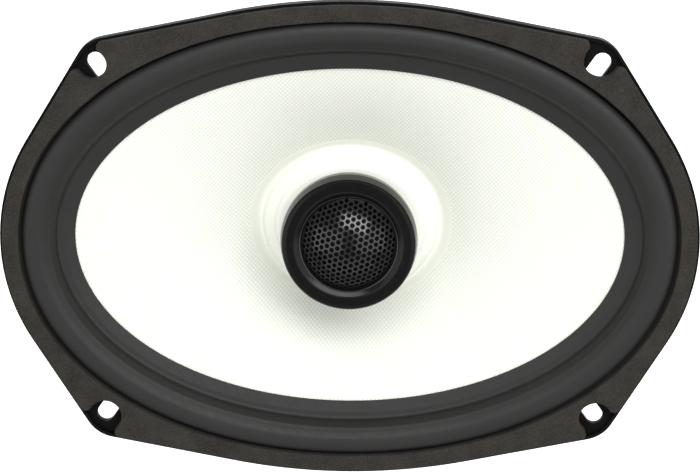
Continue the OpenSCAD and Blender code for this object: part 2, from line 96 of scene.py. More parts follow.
# The flange: half sizes, sheet, the arcs of its ends and sides, and the directions where its corners begin
# and end
FLANGE_X = reach("basket", 0)
FLANGE_Y = reach("basket", 1)
FLANGE_T = 2.5
END_R = 66
SIDE_R = 205
TAPER = math.radians(31.8)
SHOULDER = math.radians(78.8)
SLOT_AT = Vector((82.7, 59.8))
SLOT_RUN = 4.5
SLOT_TILT = math.radians(55)
# The gasket: its inset from the flange's edge, the half sizes and power of its opening, and the bite's radius
GASKET_TOP = reach("front_gasket", 2)
GASKET_INSET = 0.95
GASKET_IN = (111.5, 75.5, 2.07)
NOTCH_R = 5.6
# The surround: the half sizes of the middle line of its roll, and how the roll narrows along the sides
ROLL_MID = (104.5, 69.4)
ROLL_HALF = 5.3
ROLL_B_RATE = 5.0 / 5.3
# The cone, from its round neck to its oval edge. GLUE is the ring under the surround: two half sizes and a z
NECK_R = 16.3
CONE_RUN = (76.9, 42.3)
CONE_BULGE = 14.6
CONE_NECK_Z = -33.0
CONE_DEPTH = 30.7
GLUE = (97.4, 62.8, -0.95)
CONE_T = 0.6
SHELF_Z = -42.4
# The tweeter
DOME_R = 12.5
GRILLE_R = 16.3
GRILLE_H = 7.7
GRILLE_RIM_Z = 7.3

# ---- the picture ----

VIEW_TILT = math.radians(15.02)
VIEW_SWING = math.radians(1.41)
VIEW_ROLL = math.radians(-0.15)
VIEW_DISTANCE = 855
VIEW_AIM = Vector((0.35, 1.62))
LENS = 130.15
# Each light's place and size in metres, and its power in watts
LIGHTS = {
    "key": ((0.2, 0.62, 0.85), (1.0, 0.5), 9),
    "fill": ((0.0, -1.0, 0.9), (2.2, 0.9), 3.2),
    "left": ((-0.75, 0.0, 0.9), (0.9, 1.3), 4.4),
    "right": ((0.75, 0.0, 0.9), (0.9, 1.3), 4.4),
}
# The room's strength at the horizon and overhead. It changes between two values of a direction's Z part
ROOM_STRENGTH = (0.42, 0.3)
ROOM_CHANGE = (0.72, 0.95)
FLOOR_SIZE = 6.0
FLOOR_WHITE = 0.9
FLOOR_GLOW = 0.75


def add_camera():
    """The photograph's viewpoint: in front of the cone and a little above it."""
    toward = Vector((
        math.sin(VIEW_SWING) * math.cos(VIEW_TILT),
        math.sin(VIEW_TILT),
        math.cos(VIEW_SWING) * math.cos(VIEW_TILT)))
    level_up = (Vector((0, 1, 0)) - toward.y * toward).normalized()
    level_right = level_up.cross(toward)
    turn = Matrix.Rotation(VIEW_ROLL, 3, toward)
    right = turn @ level_right
    up = turn @ level_up
    place = Vector((0, 0, FLANGE_T)) + VIEW_DISTANCE * toward + VIEW_AIM.x * right + VIEW_AIM.y * up
    data = bpy.data.cameras.new("camera")
    data.lens = LENS
    data.sensor_width = 36
    data.clip_end = 20
    camera = bpy.data.objects.new("camera", data)
    bpy.context.collection.objects.link(camera)
    camera.matrix_world = Matrix.Translation(place * MM) @ Matrix((right, up, toward)).transposed().to_4x4()
    bpy.context.scene.camera = camera


def add_light(name, place, size, power):
    """A soft white box that faces the middle of the speaker."""
    data = bpy.data.lights.new(name, "AREA")
    data.shape = "RECTANGLE"
    data.size = size[0]
    data.size_y = size[1]
    data.energy = power
    light = bpy.data.objects.new(name, data)
    light.location = place
    light.rotation_euler = Vector(place).to_track_quat("Z", "Y").to_euler()
    bpy.context.collection.objects.link(light)


def add_world():
    """A pale room: bright round the horizon and dim straight overhead, so flat black faces stay black."""
    world = bpy.data.worlds.new("studio")
    world.use_nodes = True
    tree = world.node_tree
    background = tree.nodes["Background"]
    background.inputs["Color"].default_value = (1, 1, 1, 1)
    direction = tree.nodes.new("ShaderNodeTexCoord")
    split = tree.nodes.new("ShaderNodeSeparateXYZ")
    ramp = tree.nodes.new("ShaderNodeMapRange")
    ramp.interpolation_type = "SMOOTHSTEP"
    ramp.inputs["From Min"].default_value = ROOM_CHANGE[0]
    ramp.inputs["From Max"].default_value = ROOM_CHANGE[1]
    ramp.inputs["To Min"].default_value = ROOM_STRENGTH[0]
    ramp.inputs["To Max"].default_value = ROOM_STRENGTH[1]
    tree.links.new(direction.outputs["Generated"], split.inputs[0])
    tree.links.new(split.outputs["Z"], ramp.inputs["Value"])
    tree.links.new(ramp.outputs["Result"], background.inputs["Strength"])
    bpy.context.scene.world = world


def add_floor():
    """A plain white table that glows a little, as in a picture with a cut-out ground."""
    floor_z = cad_box[0][2] - 0.0002
    mesh = bpy.data.meshes.new("floor")
    corners = [(x * FLOOR_SIZE, y * FLOOR_SIZE, floor_z) for x, y in ((-1, -1), (1, -1), (1, 1), (-1, 1))]
    mesh.from_pydata(corners, [], [(0, 1, 2, 3)])
    floor = bpy.data.objects.new("floor", mesh)
    bpy.context.collection.objects.link(floor)
    paint = Finish("floor_white", (FLOOR_WHITE, FLOOR_WHITE, FLOOR_WHITE), roughness=0.9)
    paint.set("Emission Color", (1, 1, 1, 1))
    paint.set("Emission Strength", FLOOR_GLOW)
    mesh.materials.append(paint.material)


# ---- materials ----

class Finish:
    """One procedural material, built node by node. Texture scales are in cycles per millimetre."""

    def __init__(self, name, colour, roughness=0.5, metallic=0.0, specular=0.5):
        self.material = bpy.data.materials.new(name)
        self.material.use_nodes = True
        self.material.diffuse_color = (*colour, 1)
        self.tree = self.material.node_tree
        self.shader = self.tree.nodes["Principled BSDF"]
        self.set("Base Color", (*colour, 1))
        self.set("Roughness", roughness)
        self.set("Metallic", metallic)
        self.set("Specular IOR Level", specular)
        place = self.tree.nodes.new("ShaderNodeTexCoord")
        scale = self.tree.nodes.new("ShaderNodeVectorMath")
        scale.operation = "SCALE"
        scale.inputs["Scale"].default_value = 1 / MM
        self.link(place.outputs["Object"], scale.inputs[0])
        self.place = scale.outputs[0]

    def set(self, socket, value):
        self.shader.inputs[socket].default_value = value

    def link(self, source, target):
        self.tree.links.new(source, target)

    def value(self, operation, *inputs):
        """A Math node. Each input is a socket or a number."""
        node = self.tree.nodes.new("ShaderNodeMath")
        node.operation = operation
        for socket, item in zip(node.inputs, inputs):
            if isinstance(item, (int, float)):
                socket.default_value = item
            else:
                self.link(item, socket)
        return node.outputs[0]

    def axes(self):
        """The X, Y and Z of the place on the object, in millimetres."""
        split = self.tree.nodes.new("ShaderNodeSeparateXYZ")
        self.link(self.place, split.inputs[0])
        return split.outputs

    def noise(self, scale, detail=3.0, stretch=(1, 1, 1)):
        """Noise from 0 to 1, with its middle at 0.5."""
        stretched = self.tree.nodes.new("ShaderNodeVectorMath")
        stretched.operation = "MULTIPLY"
        stretched.inputs[1].default_value = stretch
        self.link(self.place, stretched.inputs[0])
        node = self.tree.nodes.new("ShaderNodeTexNoise")
        node.inputs["Scale"].default_value = scale
        node.inputs["Detail"].default_value = detail
        self.link(stretched.outputs[0], node.inputs["Vector"])
        return node.outputs[0]

    def cells(self, scale, randomness=1.0):
        """Distance to the nearest of many scattered points, for pores and grit."""
        node = self.tree.nodes.new("ShaderNodeTexVoronoi")
        node.inputs["Scale"].default_value = scale
        node.inputs["Randomness"].default_value = randomness
        self.link(self.place, node.inputs["Vector"])
        return node.outputs["Distance"]

    def ramp(self, source, low, high, first=0.0, last=1.0):
        """Turns the range low to high into first to last, and clamps."""
        node = self.tree.nodes.new("ShaderNodeMapRange")
        node.inputs["From Min"].default_value = low
        node.inputs["From Max"].default_value = high
        node.inputs["To Min"].default_value = first
        node.inputs["To Max"].default_value = last
        self.link(source, node.inputs["Value"])
        return node.outputs["Result"]

    def blend_colours(self, factor, first, second):
        """A colour that goes from first to second. Each is a colour or a socket."""
        node = self.tree.nodes.new("ShaderNodeMix")
        node.data_type = "RGBA"
        self.link(factor, node.inputs[0])
        for socket, item in ((node.inputs[6], first), (node.inputs[7], second)):
            if isinstance(item, tuple):
                socket.default_value = (*item, 1)
            else:
                self.link(item, socket)
        return node.outputs[2]

    def paint(self, colour):
        self.link(colour, self.shader.inputs["Base Color"])

    def gloss(self, roughness):
        self.link(roughness, self.shader.inputs["Roughness"])

    def relief(self, height, depth, strength=1.0):
        """Bump whose full height is depth millimetres. A second call adds to the first."""
        node = self.tree.nodes.new("ShaderNodeBump")
        node.inputs["Strength"].default_value = strength
        node.inputs["Distance"].default_value = depth * MM
        self.link(height, node.inputs["Height"])
        normal = self.shader.inputs["Normal"]
        if normal.is_linked:
            self.link(normal.links[0].from_socket, node.inputs["Normal"])
        self.link(node.outputs[0], normal)


def weave_height(finish, pitch_x, pitch_y, wander=2.4):
    """A plain weave laid over the XY plane.

    Gives its height, from 0 in the gaps to 1 on the yarns, and its checker, from 0 where one set of yarns
    is on top to 1 where the other is.
    """
    x, y, _ = finish.axes()
    drift = finish.value("MULTIPLY", finish.noise(0.03, 2), wander)
    across = finish.value("ADD", finish.value("DIVIDE", x, pitch_x), drift)
    along = finish.value("ADD", finish.value("DIVIDE", y, pitch_y), drift)
    waves = [finish.value("SINE", finish.value("MULTIPLY", way, math.pi)) for way in (across, along)]
    checker = finish.value("MULTIPLY_ADD", finish.value("MULTIPLY", *waves), 0.5, 0.5)
    yarns = []
    for own, other in ((across, along), (along, across)):
        side = 1 if own is across else 0
        body = finish.value("ABSOLUTE", finish.value("SINE", finish.value("MULTIPLY", own, math.pi)))
        turn = finish.value("MULTIPLY", finish.value("ADD", finish.value("FLOOR", own), side), math.pi)
        ride = finish.value("SINE", finish.value("ADD", finish.value("MULTIPLY", other, math.pi), turn))
        lift = finish.value("MULTIPLY_ADD", ride, 0.5, 0.5)
        yarns.append(finish.value("MULTIPLY", body, lift))
    return finish.value("MAXIMUM", *yarns), checker


def gasket_foam():
    """Charcoal foam, with pores and paler patches."""
    finish = Finish("gasket_foam", (0.026, 0.0235, 0.0205), roughness=0.92, specular=0.2)
    grain = finish.noise(3.2, 4)
    patch = finish.noise(0.12, 3)
    light = finish.ramp(finish.value("MULTIPLY_ADD", patch, 0.35, grain), 0.45, 0.95)
    finish.paint(finish.blend_colours(light, (0.012, 0.0108, 0.0095), (0.05, 0.0455, 0.039)))
    finish.relief(finish.cells(1.6), 0.12, 0.6)
    finish.relief(grain, 0.08, 0.8)
    return finish.material


def surround_rubber():
    """Dull black rubber, clouded a little."""
    finish = Finish("surround_rubber", (0.014, 0.014, 0.0137), roughness=0.55, specular=0.36)
    cloud = finish.noise(0.08, 4)
    finish.paint(finish.blend_colours(cloud, (0.0115, 0.0115, 0.011), (0.0175, 0.0175, 0.0168)))
    finish.gloss(finish.ramp(finish.noise(0.6, 4), 0.3, 0.7, 0.5, 0.6))
    finish.relief(finish.noise(5.0, 3), 0.02, 0.5)
    return finish.material


def woven_cone():
    """White glass cloth under resin: pale yarns, and darker gaps between them."""
    finish = Finish("woven_cone", (0.89, 0.905, 0.83), roughness=0.42, specular=0.3)
    height, checker = weave_height(finish, 0.71, 0.78)
    cloud = finish.ramp(finish.noise(0.04, 3), 0.35, 0.65)
    pale = finish.blend_colours(cloud, (0.9, 0.914, 0.845), (0.925, 0.936, 0.877))
    yarn = finish.blend_colours(finish.ramp(checker, 0.15, 0.85), (0.73, 0.753, 0.67), pale)
    finish.paint(finish.blend_colours(finish.ramp(height, 0.0, 0.35), (0.62, 0.65, 0.56), yarn))
    finish.relief(height, 0.12, 0.5)
    return finish.material


def dust_ring_film():
    """A thin white moulding, a little greener where it lies on the cone, with painted shade in darker bands
    along its two steps.
    """
    finish = Finish("dust_ring_film", (0.87, 0.883, 0.815), roughness=0.34, specular=0.45)
    height = finish.axes()[2]
    plate = finish.blend_colours(finish.noise(0.07, 4), (0.85, 0.866, 0.79), (0.89, 0.9, 0.84))
    # Painted shade: darker bands at the heights of the two steps, where the steps would be shaded.
    steps = ((-19.0, 0.55, (0.8, 0.824, 0.742)), (-22.9, 1.0, (0.785, 0.81, 0.725)))
    for shaded_step_z, shade_half_width, shade in steps:
        away = finish.value("ABSOLUTE", finish.value("SUBTRACT", height, shaded_step_z))
        plate = finish.blend_colours(finish.ramp(away, 0.3 * shade_half_width, shade_half_width), shade, plate)
    on_cone = finish.ramp(height, -24.2, -23.4)
    finish.paint(finish.blend_colours(on_cone, (0.845, 0.866, 0.79), plate))
    finish.gloss(finish.ramp(finish.noise(0.5, 3), 0.3, 0.7, 0.26, 0.4))
    finish.relief(finish.noise(0.35, 4), 0.05, 0.4)
    return finish.material


def coloured_cloth(name, dark, light, pitch, depth):
    """Resin-soaked cloth, dark in its gaps."""
    finish = Finish(name, light, roughness=0.75, specular=0.3)
    height, _ = weave_height(finish, pitch, pitch, 0.6)
    worn = finish.blend_colours(finish.noise(0.1, 4), light, tuple(0.8 * part for part in light))
    finish.paint(finish.blend_colours(finish.ramp(height, 0.1, 0.8), dark, worn))
    finish.relief(height, depth, 0.8)
    return finish.material


def moulded(name, colour, roughness, grain=4.0, depth=0.02, specular=0.5):
    """Moulded plastic, film or rubber: a fine grain, and a little change in shade and gloss."""
    finish = Finish(name, colour, roughness=roughness, specular=specular)
    cloud = finish.noise(0.15, 4)
    finish.paint(finish.blend_colours(
        cloud, tuple(0.8 * part for part in colour), tuple(min(1.25 * part, 1) for part in colour)))
    finish.gloss(finish.ramp(finish.noise(0.8, 4), 0.3, 0.7, roughness * 0.85, roughness * 1.15))
    finish.relief(finish.noise(grain, 3), depth, 0.5)
    return finish.material


def painted_steel(name, colour):
    """Black stove paint: orange peel, dust in the clear and duller patches."""
    finish = Finish(name, colour, roughness=0.5, specular=0.06)
    cloud = finish.noise(0.06, 5)
    grit = finish.ramp(finish.cells(0.9), 0.0, 0.12, 1.0, 0.0)
    shade = finish.blend_colours(
        cloud, tuple(0.75 * part for part in colour), tuple(1.3 * part for part in colour))
    finish.paint(finish.blend_colours(finish.value("MULTIPLY", grit, 0.12), shade, (0.05, 0.05, 0.048)))
    finish.gloss(finish.ramp(cloud, 0.3, 0.7, 0.44, 0.6))
    finish.relief(finish.noise(0.9, 2), 0.05, 0.35)
    return finish.material


def metal(name, colour, roughness, brush=(1, 1, 1), depth=0.01):
    """Plated or machined metal, with scratches along brush's small axis."""
    finish = Finish(name, colour, roughness=roughness, metallic=1.0)
    scratch = finish.noise(2.0, 5, brush)
    tarnish = finish.ramp(finish.noise(0.12, 4), 0.4, 0.75)
    finish.paint(finish.blend_colours(tarnish, colour, tuple(0.72 * part for part in colour)))
    finish.gloss(finish.ramp(scratch, 0.3, 0.7, roughness * 0.7, roughness * 1.4))
    finish.relief(scratch, depth, 0.6)
    return finish.material


def ferrite():
    """Fired ceramic: dark grey, with fine specks."""
    finish = Finish("ferrite", (0.035, 0.035, 0.038), roughness=0.6, specular=0.5)
    speck = finish.noise(2.5, 5)
    finish.paint(finish.blend_colours(speck, (0.02, 0.02, 0.022), (0.06, 0.06, 0.064)))
    finish.relief(speck, 0.06, 0.6)
    return finish.material


def copper_winding():
    """Enamelled wire wound in close turns along Z, with painted shade in the grooves between the turns."""
    wire_pitch = 0.32
    finish = Finish("copper_winding", (0.62, 0.26, 0.11), roughness=0.28, metallic=0.9)
    z = finish.axes()[2]
    turn = finish.value("ABSOLUTE", finish.value("SINE", finish.value("MULTIPLY", z, math.pi / wire_pitch)))
    # Painted shade: the colour darkens in the grooves between turns.
    finish.paint(finish.blend_colours(turn, (0.2, 0.07, 0.03), (0.68, 0.3, 0.13)))
    finish.relief(turn, 0.12, 0.9)
    return finish.material


def phenolic_board():
    """Brown resin board, streaked along X."""
    finish = Finish("phenolic_board", (0.26, 0.11, 0.04), roughness=0.45)
    fibre = finish.noise(1.2, 5, (0.3, 2.5, 1))
    finish.paint(finish.blend_colours(fibre, (0.17, 0.065, 0.022), (0.33, 0.15, 0.06)))
    finish.relief(fibre, 0.03, 0.5)
    return finish.material


def braid():
    """Bare copper braid, tinned in places."""
    finish = Finish("tinsel_braid", (0.72, 0.42, 0.24), roughness=0.35, metallic=0.85)
    strand = finish.noise(6.0, 2)
    finish.paint(finish.blend_colours(strand, (0.4, 0.19, 0.09), (0.85, 0.56, 0.34)))
    finish.relief(strand, 0.06, 0.9)
    return finish.material


MATERIALS = {
    "basket_paint": painted_steel("basket_paint", (0.0045, 0.0045, 0.0045)),
    "gasket_foam": gasket_foam(),
    "surround_rubber": surround_rubber(),
    "woven_cone": woven_cone(),
    "dust_ring_film": dust_ring_film(),
    "coil_former": coloured_cloth("coil_former", (0.42, 0.23, 0.07), (0.66, 0.42, 0.15), 0.5, 0.03),
    "copper_winding": copper_winding(),
    "black_adhesive": moulded("black_adhesive", (0.012, 0.012, 0.012), 0.3, 1.5, 0.08),
    "spider_cloth": coloured_cloth("spider_cloth", (0.3, 0.17, 0.05), (0.62, 0.42, 0.17), 0.85, 0.16),
    "plated_steel": metal("plated_steel", (0.62, 0.62, 0.6), 0.32),
    "ferrite": ferrite(),
    "bright_steel": metal("bright_steel", (0.7, 0.7, 0.71), 0.25),
    "boot_rubber": moulded("boot_rubber", (0.016, 0.016, 0.016), 0.55, 2.5, 0.05, 0.4),
    "phenolic_board": phenolic_board(),
    "terminal_brass": metal("terminal_brass", (0.78, 0.6, 0.3), 0.28, (0.2, 1, 1)),
    "tinsel_braid": braid(),
    "capacitor_sleeve": moulded("capacitor_sleeve", (0.02, 0.06, 0.19), 0.3, 1.2, 0.04),
    "red_insulation": moulded("red_insulation", (0.42, 0.018, 0.012), 0.42, 3, 0.03),
    "black_insulation": moulded("black_insulation", (0.014, 0.014, 0.014), 0.42, 3, 0.03),
    "pod_plastic": moulded("pod_plastic", (0.0024, 0.0021, 0.002), 0.23, 3.0, 0.012, 0.24),
    "grille_paint": moulded("grille_paint", (0.0045, 0.0044, 0.0042), 0.2, 2.0, 0.015, 0.66),
    "dome_film": moulded("dome_film", (0.0045, 0.0045, 0.0042), 0.6, 4.0, 0.02, 0.12),
    "neodymium": metal("neodymium", (0.6, 0.6, 0.62), 0.22),
    "ring_plastic": moulded("ring_plastic", (0.012, 0.012, 0.012), 0.5, 3.0, 0.03),
}

# ---- mesh helpers ----


def mesh_piece(name, shape, slot, body=None, replaces=(), sharp=35, weld=False):
    """Makes a piece from (points in mm, faces), in the finish of a record's slot."""
    points, faces = shape
    mesh = bpy.data.meshes.new(name)
    mesh.from_pydata([Vector(point) * MM for point in points], [], faces)
    work = bmesh.new()
    work.from_mesh(mesh)
    if weld:
        bmesh.ops.remove_doubles(work, verts=work.verts, dist=0.002 * MM)
    bmesh.ops.recalc_face_normals(work, faces=work.faces)
    work.to_mesh(mesh)
    work.free()
    mesh.shade_smooth()
    mesh.set_sharp_from_angle(angle=math.radians(sharp))
    mesh.materials.append(MATERIALS[slot])
    piece = bpy.data.objects.new(name, mesh)
    bpy.context.collection.objects.link(piece)
    if replaces:
        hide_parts(*replaces)
    if body:
        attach(piece, body)
    return piece


def unit_at(angle):
    """The unit vector in a direction."""
    return Vector((math.cos(angle), math.sin(angle)))


def arc(centre, radius, first, last, steps):
    """Points along an arc from the first direction to the last."""
    return [centre + radius * unit_at(first + (last - first) * step / steps) for step in range(steps + 1)]


def joined(shapes):
    """Several (points, faces) as one."""
    points = []
    faces = []
    for more_points, more_faces in shapes:
        start = len(points)
        points += more_points
        faces += [[start + index for index in face] for face in more_faces]
    return points, faces


def skin(rings, closed=True, ends=False):
    """Faces between rings of equally many points.

    closed joins the last ring to the first, and ends caps them.
    """
    count = len(rings[0])
    points = [point for ring in rings for point in ring]
    faces = []
    for row in range(len(rings) if closed else len(rings) - 1):
        here = row * count
        there = (row + 1) % len(rings) * count
        for step in range(count):
            after = (step + 1) % count
            faces.append([here + step, there + step, there + after, here + after])
    if ends:
        last = (len(rings) - 1) * count
        faces.append(list(range(count)))
        faces.append([last + step for step in range(count)][::-1])
    return points, faces


def oval(half_a, half_b, z, power=2.0, steps=288):
    """A level oval. Power 2 is an ellipse, and more is squarer."""
    ring = []
    for step in range(steps):
        angle = TURN * step / steps
        c = math.cos(angle)
        s = math.sin(angle)
        ring.append((
            math.copysign(half_a * abs(c) ** (2 / power), c),
            math.copysign(half_b * abs(s) ** (2 / power), s),
            z))
    return ring


def lathe(profile, steps=128):
    """A closed profile of (radius, z) turned round the Z axis."""
    return skin([[
        (radius * math.cos(TURN * step / steps), radius * math.sin(TURN * step / steps), z)
        for step in range(steps)] for radius, z in profile])


def softened(profile, steps=5):
    """A closed profile of (radius, z, corner radius) with its corners rounded."""
    result = []
    for index, (x, z, wanted) in enumerate(profile):
        corner = Vector((x, z))
        back = Vector(profile[index - 1][:2]) - corner
        onward = Vector(profile[(index + 1) % len(profile)][:2]) - corner
        half = back.angle(onward) / 2
        if wanted <= 0 or half > math.radians(88):
            result.append(corner)
            continue
        run = min(wanted / math.tan(half), 0.48 * back.length, 0.48 * onward.length)
        arc_r = run * math.tan(half)
        start = corner + back.normalized() * run
        end = corner + onward.normalized() * run
        centre = corner + (back.normalized() + onward.normalized()).normalized() * (arc_r / math.sin(half))
        first = math.atan2(*(start - centre).yx)
        sweep = (math.atan2(*(end - centre).yx) - first + math.pi) % TURN - math.pi
        for step in range(steps + 1):
            result.append(centre + arc_r * unit_at(first + sweep * step / steps))
    return result


def smooth_route(route, every=1.0):
    """Points about every so many millimetres along a smooth curve through a route."""
    route = [Vector(point) for point in route]
    padded = [2 * route[0] - route[1], *route, 2 * route[-1] - route[-2]]
    result = []
    for before, here, there, after in zip(padded, padded[1:], padded[2:], padded[3:]):
        steps = max(2, round((there - here).length / every))
        for step in range(steps):
            t = step / steps
            result.append(0.5 * (
                2 * here + (there - before) * t
                + (2 * before - 5 * here + 4 * there - after) * t * t
                + (3 * here - 3 * there + after - before) * t ** 3))
    result.append(route[-1])
    return result


def swept(route, radius, sides=12):
    """A round rod along a route. Radius is a number, or a function of the share of the way."""
    last = len(route) - 1
    rings = []
    across = Vector((1, 0, 0))
    for index, place in enumerate(route):
        along = (route[min(index + 1, last)] - route[max(index - 1, 0)]).normalized()
        across = (across - across.dot(along) * along).normalized()
        side = along.cross(across)
        size = radius(index / last) if callable(radius) else radius
        rings.append([
            place + size * (math.cos(TURN * step / sides) * across + math.sin(TURN * step / sides) * side)
            for step in range(sides)])
    return skin(rings, closed=False, ends=True)


def twisted(route, strands, strand_r, pitch):
    """Strands twisted round a route, as on a tinsel lead."""
    coil_r = strand_r / math.sin(math.pi / strands) if strands > 2 else strand_r
    paths = [[] for _ in range(strands)]
    across = Vector((1, 0, 0))
    travelled = 0.0
    last = len(route) - 1
    for index, place in enumerate(route):
        along = (route[min(index + 1, last)] - route[max(index - 1, 0)]).normalized()
        across = (across - across.dot(along) * along).normalized()
        side = along.cross(across)
        if index:
            travelled += (place - route[index - 1]).length
        for strand, path in enumerate(paths):
            angle = TURN * (travelled / pitch + strand / strands)
            path.append(place + coil_r * (math.cos(angle) * across + math.sin(angle) * side))
    return joined(swept(path, strand_r, 8) for path in paths)


def filled(outer, inner, bump=0.0, spacing=0.0, holes=()):
    """Triangles between an outer and an inner loop, less the holes.

    With a spacing, points fill the space between and go up and down by bump, as the surface of a foam does.
    """
    loops = [outer, *([inner] if inner else []), *holes]
    points = []
    z = outer[0][2]
    edges = []
    faces = []
    for loop in loops:
        start = len(points)
        points += [Vector(point[:2]) for point in loop]
        ring = list(range(start, len(points)))
        edges += list(zip(ring, ring[1:] + ring[:1]))
        faces.append(ring)
    if spacing:
        points += lattice_between(outer, inner, spacing)
    found = geometry.delaunay_2d_cdt(points, edges, faces, 1, 1e-6)
    flat_points, triangles, sources = found[0], found[2], found[5]
    kept = [tri for tri, source in zip(triangles, sources) if 0 in source and len(source) == 1]
    edge_count = sum(len(loop) for loop in loops)
    solid = []
    for index, point in enumerate(flat_points):
        lift = bump * noise.noise(Vector((point.x, point.y, 7)) * 0.45) if index >= edge_count else 0
        solid.append((point.x, point.y, z + lift))
    return solid, [list(tri) for tri in kept]


def lattice_between(outer, inner, spacing):
    """A hexagonal lattice of points inside outer and outside inner, clear of both edges."""
    rim = [Vector(point[:2]) for point in outer]
    hole = [Vector(point[:2]) for point in inner]
    wide = max(point.x for point in rim)
    deep = max(point.y for point in rim)
    result = []
    rows = int(deep / (spacing * 0.866))
    for row in range(-rows, rows + 1):
        for column in range(-int(wide / spacing), int(wide / spacing) + 1):
            place = Vector(((column + row % 2 / 2) * spacing, row * spacing * 0.866))
            if inside(place, hole, 0.5 * spacing) or not inside(place, rim, -0.5 * spacing):
                continue
            result.append(place)
    return result


def inside(place, loop, margin):
    """Whether a place is inside a loop that is grown by a margin."""
    crossings = 0
    nearest = 1e9
    for a, b in zip(loop, loop[1:] + loop[:1]):
        if (a.y > place.y) != (b.y > place.y):
            if place.x < (b.x - a.x) * (place.y - a.y) / (b.y - a.y) + a.x:
                crossings += 1
        nearest = min(nearest, (a - place).length_squared)
    within = crossings % 2 == 1
    close = nearest < margin * margin
    return within and not (margin < 0 and close) or not within and margin > 0 and close


# ---- flange and gasket outlines ----


END_CENTRE = Vector((FLANGE_X - END_R, 0))
SIDE_CENTRE = Vector((0, FLANGE_Y - SIDE_R))
SLOT_END = SLOT_AT + SLOT_RUN / 2 * unit_at(SLOT_TILT)


def notched_corner(inset, grow, hole, notch_r, lobe_r=2.0):
    """The gasket's corner: two round lobes and a bite round the screw slot.

    grow takes more off all round, for the rounded upper edge.
    """
    edge_taper = END_CENTRE.dot(unit_at(TAPER)) + END_R - inset - grow
    edge_shoulder = SIDE_CENTRE.dot(unit_at(SHOULDER)) + SIDE_R - inset - grow
    bite = notch_r + grow
    lobe = lobe_r - grow
    centres = []
    for edge, angle, side in ((edge_taper, TAPER, -1), (edge_shoulder, SHOULDER, 1)):
        normal = unit_at(angle)
        tangent = Vector((-normal.y, normal.x))
        rise = edge - lobe - normal.dot(hole)
        centres.append(hole + rise * normal + side * math.sqrt((bite + lobe) ** 2 - rise ** 2) * tangent)
    first, second = centres
    to_first = math.atan2(*(first - hole).yx)
    to_second = math.atan2(*(second - hole).yx)
    lobe_end = to_first + math.pi
    while lobe_end < TAPER:
        lobe_end += TURN
    lobe_start = to_second - math.pi
    while lobe_start > SHOULDER:
        lobe_start -= TURN
    while to_second > to_first:
        to_second -= TURN
    return (arc(first, lobe, TAPER, lobe_end, 12)
            + arc(hole, bite, to_first, to_second, 32)[1:-1]
            + arc(second, lobe, lobe_start, SHOULDER, 12))


def outline(inset, z, corner, grow=0.0, steps=40):
    """The flange's outline, drawn inwards by inset. corner(sx, sy) gives the points of the corner."""
    loop = []
    for sx, sy in ((1, 1), (-1, 1), (-1, -1), (1, -1)):
        quarter = arc(END_CENTRE, END_R - inset - grow, 0, TAPER, steps)[:-1]
        quarter += corner(sx, sy)
        quarter += arc(SIDE_CENTRE, SIDE_R - inset - grow, SHOULDER, math.pi / 2, steps)[1:]
        mirrored = [(sx * point.x, sy * point.y, z) for point in quarter]
        loop += mirrored[:-1] if sx * sy > 0 else mirrored[::-1][:-1]
    return loop


def ragged(loop, amount, seed):
    """Moves each point of a loop a little in or out, as a die-cut edge in foam is."""
    result = []
    for x, y, z in loop:
        push = amount * noise.noise(Vector((x * 0.35, y * 0.35, seed)))
        away = Vector((x, y)).normalized()
        result.append((x + push * away.x, y + push * away.y, z))
    return result


def build_gasket():
    """The foam gasket, die-cut to the flange, with a bite round each screw slot."""
    foot_z = FLANGE_T + 0.02
    under_z = 3.08
    edge_r = 0.45
    # How far the bite of each corner lies off its slot, and how much its radius differs
    bites = {
        (1, 1): (-0.6, 0.9, 0.1), (-1, 1): (1.0, -0.6, -0.7),
        (-1, -1): (-0.1, 0.1, 0.1), (1, -1): (0.2, 0, 0)}

    def corner(grow):
        def points(sx, sy):
            dx, dy, dr = bites[(sx, sy)]
            return notched_corner(GASKET_INSET, grow, SLOT_END + Vector((dx, dy)), NOTCH_R + dr)
        return points

    def outer(grow, z):
        return ragged(outline(GASKET_INSET, z, corner(grow), grow), 0.16, 3)

    def inner(grow, z):
        half_a, half_b, power = GASKET_IN
        return ragged(oval(half_a + grow, half_b + grow, z, power, 360), 0.12, 5)

    bevel = [(edge_r * (1 - math.cos(angle)), GASKET_TOP - edge_r + edge_r * math.sin(angle))
             for angle in (math.radians(22.5 * step) for step in range(5))]
    outside = [outer(1.2, under_z), outer(1.2, foot_z), outer(0, foot_z), *[outer(*place) for place in bevel]]
    inside_walls = [inner(0, under_z), *[inner(*place) for place in bevel]]
    top = filled(outside[-1], inside_walls[-1], bump=0.14, spacing=1.8)
    under = filled(outside[0], inside_walls[0])
    shape = joined([skin(outside, closed=False), skin(inside_walls, closed=False), top, under])
    piece = mesh_piece("gasket_ring", shape, "gasket_foam", "frame_body", ["front_gasket"], weld=True)


# ---- cone, surround and dust ring ----


def cone_ring(t, lift):
    """A ring of the cone from t 0 at the neck to 1 at the edge."""
    half_a = NECK_R + CONE_RUN[0] * t
    half_b = NECK_R + CONE_RUN[1] * t + CONE_BULGE * t * (1 - t)
    return half_a, half_b, CONE_NECK_Z + CONE_DEPTH * (1.519 * t - 0.519 * t * t) + lift


def build_cone():
    """The woven cone, with the ring that is glued under the surround."""
    steps = 44
    rows = [cone_ring(step / steps, 0) for step in range(steps + 1)] + [GLUE]
    upper = [oval(*row) for row in rows]
    lower = [oval(a, b, z - CONE_T) for a, b, z in rows]
    mesh_piece("woven_cone_skin", skin(upper + lower[::-1]), "woven_cone", "cone_body", ["cone"])


